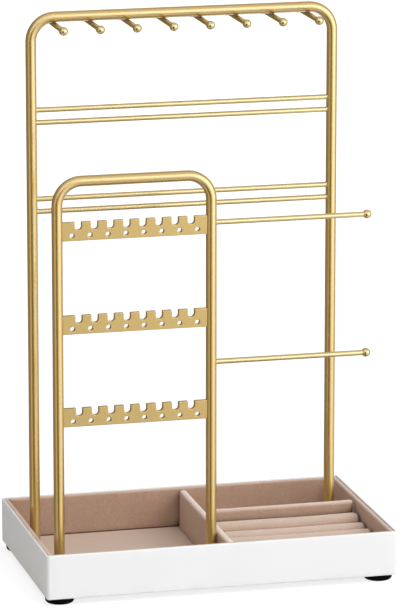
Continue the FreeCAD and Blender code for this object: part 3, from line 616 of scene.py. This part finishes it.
# ------------------------------------------------------------------ frames
# Each frame is one length of 6 mm steel tube, bent twice on a bending machine. After welding the
# whole frame is blasted to a satin grain, plated in a pale gold and lacquered.
def satin_gold(name, tones, smooth, rough, lacquer, spread=0.0):
    """Gold plate on blasted steel under clear lacquer: a warm metal with soft, wide highlights.
    Its roughness goes from smooth to rough over a blasting grain that is 0.1 mm across and is
    drawn at 0.35 mm so that it shows. The lacquer's IOR is raised from the usual 1.5 until its
    sheen pales the gold as it should. Round a belted tube the polish also spreads a highlight,
    in the direction that the mesh gives."""
    material, tree, place = new_material(name)
    grain = add_node(tree, "ShaderNodeTexNoise", {"Vector": place, "Scale": per(0.35), "Detail": 2})
    drift = add_node(tree, "ShaderNodeTexNoise", {"Vector": place, "Scale": per(25), "Detail": 2})
    bump = add_node(tree, "ShaderNodeBump", {
        "Height": grain.outputs["Fac"], "Strength": 0.07, "Distance": 0.03 * MM})
    tone = add_node(tree, "ShaderNodeMix", {
        "Factor": drift.outputs["Fac"], "A": linear(tones[0]), "B": linear(tones[1])},
        data_type="RGBA")
    gloss = add_node(tree, "ShaderNodeMapRange", {
        "Value": grain.outputs["Fac"], "To Min": smooth, "To Max": rough})
    metal = add_node(tree, "ShaderNodeBsdfPrincipled", {
        "Base Color": tone.outputs["Result"], "Metallic": 1.0, "Roughness": gloss.outputs["Result"],
        "Anisotropic": spread, "Coat Weight": 1.0, "Coat IOR": lacquer, "Coat Roughness": 0.15,
        "Normal": bump.outputs["Normal"]})
    if spread:
        along = add_node(tree, "ShaderNodeAttribute", attribute_name="spread")
        tree.links.new(along.outputs["Vector"], metal.inputs["Tangent"])
    use_shader(tree, metal)
    return material


BEND_RADIUS = 13.6 * MM
TUBE_WALL = 1.0 * MM
BEND_REACH = TUBE_RADIUS + BEND_RADIUS  # from the frame's outside to the centre of a bend
belted_gold = satin_gold("belted_gold_plate", ("#CDAE60", "#C8A95B"), 0.34, 0.44, 2.1, spread=0.8)


def tube_rows(low, high, radius):
    """The tube's skin at one radius from its centreline. Its centre runs up a post, a quarter turn
    about each bend's centre and down again: point = bend centre + (bend + r cos a) x spoke, and
    r sin a towards the back."""
    turn = np.concatenate([[0], np.linspace(0, 90, 19), np.linspace(90, 180, 19), [180]])
    spoke = np.column_stack([-np.cos(np.radians(turn)), 0 * turn, np.sin(np.radians(turn))])
    first_half = np.arange(len(turn)) < len(turn) / 2
    centre_x = np.where(first_half, low.x + BEND_REACH, high.x - BEND_REACH)
    centre_z = np.full(len(turn), high.z - BEND_REACH)
    centre_z[[0, -1]] = low.z
    centres = np.column_stack([centre_x, np.full(len(turn), (low.y + high.y) / 2), centre_z])
    around = np.linspace(0, 2 * np.pi, 48, endpoint=False)[None, :, None]
    outward = (BEND_RADIUS + radius * np.cos(around)) * spoke[:, None]
    return centres[:, None] + outward + radius * np.sin(around) * np.array((0, 1, 0))


def polish(mesh, low, high):
    """Notes at each point which way the polish spreads a highlight: along the tube, which is the
    direction out from the nearest bend's centre, turned a quarter in the plane of the frame."""
    places = np.empty(len(mesh.vertices) * 3, dtype=np.float32)
    mesh.vertices.foreach_get("co", places)
    x, z = places[0::3], places[2::3]
    spoke = np.column_stack([
        x - np.clip(x, low.x + BEND_REACH, high.x - BEND_REACH),
        z - np.minimum(z, high.z - BEND_REACH)])
    spoke /= np.linalg.norm(spoke, axis=1)[:, None]
    along = np.column_stack([spoke[:, 1], 0 * x, -spoke[:, 0]])
    spread = mesh.attributes.new("spread", "FLOAT_VECTOR", "POINT")
    spread.data.foreach_set("vector", along.astype(np.float32).ravel())


for node in ("rear_frame", "front_frame"):
    low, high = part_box(node)
    outside = tube_rows(low, high, TUBE_RADIUS)
    bore = tube_rows(low, high, TUBE_RADIUS - TUBE_WALL)
    points = np.concatenate([outside, bore[::-1]])
    mesh = new_mesh(node, [grid_patch(points, wrap_rows=True)])
    polish(mesh, low, high)
    add_piece("bent_tube_" + node, mesh, belted_gold, [node])


# ------------------------------------------------------------------ rails
# Two pairs of 3 mm rods cross the rear frame. They are drawn smoother than the tube, and their
# ends are cut to the curve of the posts and welded, which leaves a small hollow fillet round each.
FILLET = 0.45 * MM
BITE = 0.4 * MM
drawn_gold = satin_gold("drawn_gold_plate", ("#C8B373", "#C3AE6F"), 0.22, 0.32, 2.1)


def fillet_radius(distance, rod):
    """A rod's radius at a distance from the post: it flares by a quarter circle of weld."""
    near = np.clip(distance, 0, FILLET)
    return rod + FILLET - np.sqrt(FILLET ** 2 - (FILLET - near) ** 2)


def rod_rows(distances, rod, post_radius):
    """Rings of a rod that leaves an upright post: each point starts on the post's round face, at
    sqrt(post^2 - y^2) from the post's axis, and goes out along X by its distance."""
    around = np.linspace(0, 2 * np.pi, 32, endpoint=False)[None]
    radius = fillet_radius(distances, rod)[:, None]
    y, z = radius * np.cos(around), radius * np.sin(around)
    x = np.sqrt(post_radius ** 2 - y ** 2) + distances[:, None]
    return np.stack([x, y, z], axis=-1)


# Where a rod's end has its rings, from inside the post's skin outwards.
END_STEPS = np.array([-BITE, 0, 0.06 * MM, 0.15 * MM, 0.27 * MM, FILLET, 0.9 * MM, 2 * MM])
rail_span = rear_high.x - rear_low.x - 2 * TUBE_RADIUS
for node in ("upper_rail_top", "upper_rail_bottom", "lower_rail_top", "lower_rail_bottom"):
    low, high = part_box(node)
    rod = (high.z - low.z) / 2
    left = rod_rows(END_STEPS, rod, TUBE_RADIUS)
    left[..., 0] -= rail_span / 2
    right = left[::-1] * (-1, 1, 1)
    points = np.concatenate([left, right]) + (0, (low.y + high.y) / 2, (low.z + high.z) / 2)
    add_piece("rail_" + node, new_mesh(node, [grid_patch(points)]), drawn_gold,
              [node])


# ------------------------------------------------------------------ pegs
# Eight turned pegs with a ball at each end are welded across the underside of the rear top bar,
# so that each gives one hook to the front and one to the back.
BALL_RADIUS = 2.5 * MM
ROD_RADIUS = 1.5 * MM
WELD_GAP = 0.05 * MM  # between the bar and the peg
WELD_SINK = 0.12 * MM  # of the weld into both
WELD_EDGE = 0.22 * MM  # the width of the wedge between them where the weld ends
WELD_HOLLOW = 0.28  # how far its wall curves in halfway, as a share of its reach


def ball_end(reach):
    """The half outline of a rod's ball end, from its tip inwards: the ball's circle, joined to the
    rod by a smooth maximum, the eighth root of ball^8 + rod^8."""
    angle = np.radians(np.linspace(0, 90, 13))
    tip = np.column_stack([reach + BALL_RADIUS * np.cos(angle), BALL_RADIUS * np.sin(angle)])
    along = np.concatenate([reach - BALL_RADIUS * np.sin(np.radians(np.linspace(6, 84, 14))),
                            [reach - 1.15 * BALL_RADIUS, reach - 1.6 * BALL_RADIUS]])
    ball = np.sqrt(np.maximum(BALL_RADIUS ** 2 - (along - reach) ** 2, 0))
    neck = np.column_stack([along, (ball ** 8 + ROD_RADIUS ** 8) ** (1 / 8)])
    return np.concatenate([tip, neck])


def peg_weld():
    """The weld between the bar and the peg under it: round the point where they meet, a wall goes
    from the bar's underside to the peg's top, hollowed inwards halfway. Its reach r at an angle a
    is where the wedge is 0.22 mm wide: r^2 (cos^2 a / (2 peg) + sin^2 a / (2 bar)) = 0.22 mm."""
    around = np.linspace(0, 2 * np.pi, 28, endpoint=False)[None]
    level = np.linspace(0, 1, 7)[:, None]
    opening = np.cos(around) ** 2 / (2 * ROD_RADIUS) + np.sin(around) ** 2 / (2 * TUBE_RADIUS)
    radius = np.sqrt(WELD_EDGE / opening) * (1 - WELD_HOLLOW * np.sin(np.pi * level))
    x, y = radius * np.cos(around), radius * np.sin(around)
    bar = -np.sqrt(TUBE_RADIUS ** 2 - y ** 2) + WELD_SINK
    peg_axis = -(TUBE_RADIUS + ROD_RADIUS + WELD_GAP)
    peg = peg_axis + np.sqrt(ROD_RADIUS ** 2 - x ** 2) - WELD_SINK
    return np.stack([x, y, bar + (peg - bar) * level], axis=-1)


bar_axis_z = rear_high.z - TUBE_RADIUS
for number in range(1, 9):
    node = "peg_%d" % number
    low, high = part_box(node)
    half = ball_end((high.y - low.y) / 2 - BALL_RADIUS)
    outline = np.concatenate([half, half[::-1] * (-1, 1)])
    points = turned(outline[:, 1], outline[:, 0], 32)[..., (0, 2, 1)]
    middle = ((low.x + high.x) / 2, (low.y + high.y) / 2, (low.z + high.z) / 2)
    weld = peg_weld() + (middle[0], middle[1], bar_axis_z)
    patches = [grid_patch(points + middle, caps=False), grid_patch(weld)]
    add_piece("turned_" + node, new_mesh(node, patches), drawn_gold, [node])


# ------------------------------------------------------------------ earring bars
# Three flat bars are punched from 2.5 mm strip, with a row of round-bottomed notches for hooks
# above a row of holes for posts, tumbled to break their edges, and welded between the posts.
NOTCHES = 8
NOTCH_WIDTH = 3.7 * MM
NOTCH_DEPTH = 4.4 * MM
NOTCH_MARGIN = 8.6 * MM
NOTCH_LIP = 0.35 * MM
NOTCH_LIP_MIDDLE = 0.1 * MM
HOLES = 8
HOLE_RADIUS = 1.25 * MM
HOLE_HEIGHT = 3.0 * MM
HOLE_MARGIN = 5.1 * MM
TUMBLED_EDGE = 0.26 * MM
TUCK = 2.5 * MM  # from a post's axis to the bar's end, inside the tube's face


def notched_outline(left, right, height):
    """The bar's outline in its own plane, anticlockwise from the lower left corner: along the
    bottom, up, and back along the top, down and round each notch."""
    clear_left, clear_right = left - TUCK + TUBE_RADIUS, right + TUCK - TUBE_RADIUS
    middles = np.linspace(clear_right - NOTCH_MARGIN, clear_left + NOTCH_MARGIN, NOTCHES)
    half, low = NOTCH_WIDTH / 2, height - NOTCH_DEPTH + NOTCH_WIDTH / 2
    around = np.radians(np.linspace(0, -180, 17))
    mouth = [(half + NOTCH_LIP, height), (half + NOTCH_LIP_MIDDLE, height - NOTCH_LIP_MIDDLE),
             (half, height - NOTCH_LIP)]
    notch = np.concatenate([
        mouth, np.column_stack([half * np.cos(around), low + half * np.sin(around)]),
        np.array(mouth)[::-1] * (-1, 1)])
    top = (notch[None] + np.column_stack([middles, 0 * middles])[:, None]).reshape(-1, 2)
    return np.concatenate([[(left, 0), (right, 0), (right, height)], top, [(left, height)]])


front_y = (front_low.y + front_high.y) / 2
punched_gold = satin_gold("punched_gold_plate", ("#BA9C54", "#B69850"), 0.28, 0.38, 1.8)
bar_left, bar_right = front_low.x + TUBE_RADIUS + TUCK, front_high.x - TUBE_RADIUS - TUCK
hole_places = np.linspace(front_low.x + 2 * TUBE_RADIUS + HOLE_MARGIN,
                          front_high.x - 2 * TUBE_RADIUS - HOLE_MARGIN, HOLES)
for level in ("top", "middle", "bottom"):
    node = "earring_bar_" + level
    low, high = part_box(node)
    outline = notched_outline(bar_left, bar_right, high.z - low.z)
    holes = [circle_loop(x, HOLE_HEIGHT, HOLE_RADIUS, 28) for x in hole_places]
    patches = plate_patches([outline, *holes], low.y, high.y, TUMBLED_EDGE)
    patches = [(points[:, (0, 2, 1)] + (0, 0, low.z), faces) for points, faces in patches]
    add_piece("punched_" + node, new_mesh(node, patches), punched_gold, [node])


# ------------------------------------------------------------------ bracelet rods
# Two turned rods with a ball at the free end reach out from the front frame's inner post, welded
# to it like the rails.
for level in ("upper", "lower"):
    node = "bracelet_rod_" + level
    low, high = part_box(node)
    post_x = front_high.x - TUBE_RADIUS
    root = rod_rows(END_STEPS, ROD_RADIUS, TUBE_RADIUS)
    half = ball_end(high.x - BALL_RADIUS - post_x)[::-1]
    around = np.linspace(0, 2 * np.pi, 32, endpoint=False)[None]
    y, z = half[:, 1:] * np.cos(around), half[:, 1:] * np.sin(around)
    tip = np.stack([np.broadcast_to(half[:, :1], y.shape), y, z], axis=-1)
    points = np.concatenate([root, tip]) + (post_x, front_y, (low.z + high.z) / 2)
    add_piece("turned_" + node, new_mesh(node, [grid_patch(points)]), drawn_gold,
              [node])


# ------------------------------------------------------------------ fixings
# Under each post a zinc-plated pan-head screw with a cross recess goes up through a washer and
# the floor into a plug brazed into the tube.
def zinc():
    """Bright zinc plate: a cool light metal, a little uneven."""
    material, tree, place = new_material("zinc_plate")
    cloud = add_node(tree, "ShaderNodeTexNoise", {"Vector": place, "Scale": per(1.5), "Detail": 3})
    tone = add_node(tree, "ShaderNodeMix", {
        "Factor": cloud.outputs["Fac"], "A": linear("#B9BCC0"), "B": linear("#D0D2D4")},
        data_type="RGBA")
    use_shader(tree, add_node(tree, "ShaderNodeBsdfPrincipled", {
        "Base Color": tone.outputs["Result"], "Metallic": 1.0, "Roughness": 0.34}))
    return material


HEAD_RADIUS = 2.8 * MM
HEAD_HEIGHT = 1.7 * MM
HEAD_EDGE = 0.8 * MM
SHANK_RADIUS = 1.5 * MM
SHANK_TIP = 0.4 * MM
RECESS_DEPTH = 0.9 * MM
RECESS_ARM = 1.45 * MM
RECESS_HALF_WIDTH = 0.42 * MM
RECESS_EASE = 0.12 * MM
WASHER_RADIUS = 4.5 * MM
WASHER_BORE = 1.7 * MM
WASHER_EDGE = 0.12 * MM


def screw_points(length):
    """A turned pan head and shank, head down. A cross is pressed into the face: at a point whose
    nearer and farther axis distances are n and f, its depth is full x ease(half width - n) x
    ease(arm - f), where ease goes from 0 to 1."""
    face = np.linspace(0, HEAD_RADIUS - HEAD_EDGE, 24)
    edge = np.array(arc(HEAD_EDGE, 270, 360, 8))[:, 1:]
    radii = np.concatenate([
        face, HEAD_RADIUS - HEAD_EDGE + edge[0],
        [HEAD_RADIUS, SHANK_RADIUS, SHANK_RADIUS, SHANK_RADIUS - SHANK_TIP, 0]])
    heights = np.concatenate([
        0 * face, HEAD_EDGE + edge[1],
        [HEAD_HEIGHT, HEAD_HEIGHT, length - SHANK_TIP, length, length]])
    points = turned(radii, heights, 96)
    across = np.sort(np.abs(points[:len(face), :, :2]), axis=2)
    ease = np.clip((np.array((RECESS_HALF_WIDTH, RECESS_ARM)) - across) / RECESS_EASE, 0, 1)
    points[:len(face), :, 2] += RECESS_DEPTH * ease.prod(axis=2)
    return points


def washer_points(thickness):
    """A rounded section turned about the upright axis."""
    half_width, half_height = (WASHER_RADIUS - WASHER_BORE) / 2, thickness / 2
    centres, outward = rounded_loop(half_width, half_height, WASHER_EDGE, 1 * MM)
    section = centres + WASHER_EDGE * outward + (WASHER_BORE + half_width, half_height)
    return turned(section[:, 0], section[:, 1])


zinc_plate = zinc()
for node, shape, wrapped in (("frame_screws", screw_points, False),
                             ("frame_washers", washer_points, True)):
    low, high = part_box(node)
    patches = [grid_patch(shape(high.z - low.z) + (x, y, low.z), wrap_rows=wrapped, caps=False)
               for x, y in post_places]
    add_piece("zinc_" + node, new_mesh(node, patches), zinc_plate, [node])
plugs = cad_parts["thread_plugs"].data.materials  # hidden in the tubes
plugs.clear()
plugs.append(zinc_plate)


# ------------------------------------------------------------------ studio
# A pale table in a white surround. A wide soft light stands at the front right, a smaller one
# above it throws the shadows, one hangs overhead, and two faint ones fill from the front and the
# back. Grey and warm cards, which only gloss sees, stand round the stand and lie on the table.
def surround_ray(tree):
    """One where the camera, a gloss or glass looks, and nought for light that falls on things."""
    ray = add_node(tree, "ShaderNodeLightPath").outputs
    seen = add_node(tree, "ShaderNodeMath", {0: ray["Is Camera Ray"], 1: ray["Is Glossy Ray"]},
                    operation="MAXIMUM")
    return add_node(tree, "ShaderNodeMath", {0: seen.outputs[0], 1: ray["Is Transmission Ray"]},
                    operation="MAXIMUM").outputs[0]


def add_stage(name, corners):
    """A flat sheet of the studio, from its corners in metres."""
    mesh = bpy.data.meshes.new(name)
    mesh.from_pydata([Vector(corner) for corner in corners], [], [list(range(len(corners)))])
    sheet = bpy.data.objects.new(name, mesh)
    bpy.context.scene.collection.objects.link(sheet)
    return sheet


scene = bpy.context.scene
scene.view_settings.view_transform = "Standard"
AMBIENT = 0.455
WHITE = (1, 1, 1, 1)
world = bpy.data.worlds.new("studio")
scene.world = world
world.use_nodes = True
tree = world.node_tree
tree.nodes.clear()
ambient = add_node(tree, "ShaderNodeBackground", {"Color": WHITE, "Strength": AMBIENT})
white = add_node(tree, "ShaderNodeBackground", {"Color": WHITE, "Strength": 1.0})
mix = add_node(tree, "ShaderNodeMixShader", {
    0: surround_ray(tree), 1: ambient.outputs[0], 2: white.outputs[0]})
add_node(tree, "ShaderNodeOutputWorld", {"Surface": mix.outputs[0]})

REACH = 12.0
TABLE_Z = -0.02 * MM  # just under the feet, so that the two faces don't mix
corners = [(x * REACH, y * REACH, TABLE_Z) for x, y in ((-1, -1), (1, -1), (1, 1), (-1, 1))]
table = add_stage("table", corners)
# It lights things as white paper does. What is seen of it is a greyer sheet with a glow of its
# own, so that it comes out as white as the surround and keeps the stand's shadow.
material, tree, place = new_material("pale_table")
paper = add_node(tree, "ShaderNodeBsdfDiffuse", {"Color": linear("#E2E2E2")})
sheet = add_node(tree, "ShaderNodeBsdfDiffuse", {"Color": linear("#8E8E8E")})
away = add_node(tree, "ShaderNodeVectorMath", {0: place}, operation="LENGTH")
fade = add_node(tree, "ShaderNodeMapRange", {
    "Value": away.outputs["Value"], "From Min": 0.3, "From Max": 1.5, "To Min": 0.79})
glow = add_node(tree, "ShaderNodeEmission", {"Color": WHITE, "Strength": fade.outputs["Result"]})
both = add_node(tree, "ShaderNodeAddShader", {0: sheet.outputs[0], 1: glow.outputs[0]})
mix = add_node(tree, "ShaderNodeMixShader", {
    0: surround_ray(tree), 1: paper.outputs[0], 2: both.outputs[0]})
add_node(tree, "ShaderNodeOutputMaterial", {"Surface": mix.outputs[0]})
table.data.materials.append(material)
table.visible_glossy = False


def towards(azimuth, elevation, distance):
    """A point at a bearing to the right of the front, an angle up and a distance from the stand."""
    a, e = math.radians(azimuth), math.radians(elevation)
    return Vector((math.sin(a) * math.cos(e), -math.cos(a) * math.cos(e), math.sin(e))) * distance


CARD_TINT = linear("#FFEBCD")
CARD_DISTANCE = 4.0


def add_card(name, corners, shade, tint=CARD_TINT):
    """A glowing sheet that only gloss sees, in place of a card. Its glow is 0 for black, 1 for
    white, more for a lit card.
    """
    card = add_stage(name, corners)
    material, tree, place = new_material(name)
    face = add_node(tree, "ShaderNodeEmission", {"Color": tint, "Strength": shade})
    add_node(tree, "ShaderNodeOutputMaterial", {"Surface": face.outputs[0]})
    card.data.materials.append(material)
    card.visible_camera = card.visible_diffuse = card.visible_shadow = False


def standing_card(name, bearings, heights, shade, tint=CARD_TINT, distance=CARD_DISTANCE):
    """An upright card between two bearings, in degrees, and two heights, in metres."""
    left, right = [towards(bearing, 0, distance) for bearing in bearings]
    low, high = [Vector((0, 0, height)) for height in heights]
    add_card(name, [left + low, right + low, right + high, left + high], shade, tint)


# Down each tube these draw a dark stripe with a bright one on either side, and warm the metal
# towards its left edge.
standing_card("card_front_left", (-46, -8), (-4, 1.1), 0.05)
standing_card("card_high", (-62, 10), (1.1, 6), 1.5, WHITE)
standing_card("card_between", (-76, -46), (-4, 1.1), 0.9, linear("#FFEAC6"))
standing_card("card_left", (-76, -108), (-4, 4), 0.42, linear("#FFE2B4"))
standing_card("card_far_left", (-108, -135), (-4, 4), 0.36, linear("#FFFCF6"))
standing_card("card_rear_left", (-135, -181), (-4, 4), 0.14, WHITE)
standing_card("card_close_behind", (-148, -205), (0.05, 0.32), 0.27, linear("#FFD67A"),
              distance=0.5)
add_card("card_overhead", [(-4, 0.5, 3), (4, 0.5, 3), (4, 5, 3), (-4, 5, 3)], 0.66)
DISC_RADIUS, DISC_Z = 150 * MM, 0.5 * MM
disc = [(DISC_RADIUS * math.cos(a), DISC_RADIUS * math.sin(a), DISC_Z)
        for a in np.radians(np.arange(0, 360, 10))]
add_card("card_table", disc, 0.36, linear("#FFE3B0"))
standing_card("card_right", (86, 140), (-4, 4), 0.75)
AIM_Z = 0.15  # half way up the stand


def soft_light(name, azimuth, elevation, distance, width, height, radiance):
    """A rectangular soft light that faces the stand; its power is pi x area x radiance."""
    data = bpy.data.lights.new(name, "AREA")
    data.shape = "RECTANGLE"
    data.size, data.size_y, data.energy = width, height, math.pi * width * height * radiance
    lamp = bpy.data.objects.new(name, data)
    lamp.location = towards(azimuth, elevation, distance) + Vector((0, 0, AIM_Z))
    lamp.rotation_euler = lamp.location.to_track_quat("Z", "Y").to_euler()
    scene.collection.objects.link(lamp)
    return lamp


soft_light("key", 42, 14, 4.6, 5.2, 4.6, 1.6)
high = soft_light("high", 60, 40, 4.2, 1.8, 1.8, 3.8)
top = soft_light("top", 20, 72, 3.2, 3.0, 3.0, 1.9)
front = soft_light("front", 0, 22, 4.0, 3.0, 2.4, 0.15)
rear = soft_light("rear", 195, 24, 4.0, 3.0, 2.4, 0.6)
high.visible_glossy = top.visible_glossy = front.visible_glossy = rear.visible_glossy = False


# ------------------------------------------------------------------ camera
# A long lens, a little to the left of the front and above the stand.
AZIMUTH, ELEVATION, DISTANCE = -14.23, 13.15, 2.4
LOOK_AT = Vector((0.0018, 0, 0.1505))
camera = bpy.data.objects.new("camera", bpy.data.cameras.new("camera"))
camera.data.lens, camera.data.sensor_width = 254.7, 36
back = towards(AZIMUTH, ELEVATION, 1)
camera.location = LOOK_AT + DISTANCE * back
camera.rotation_mode = "QUATERNION"
camera.rotation_quaternion = back.to_track_quat("Z", "Y")
camera.data.clip_end = 100
scene.collection.objects.link(camera)
scene.camera = camera
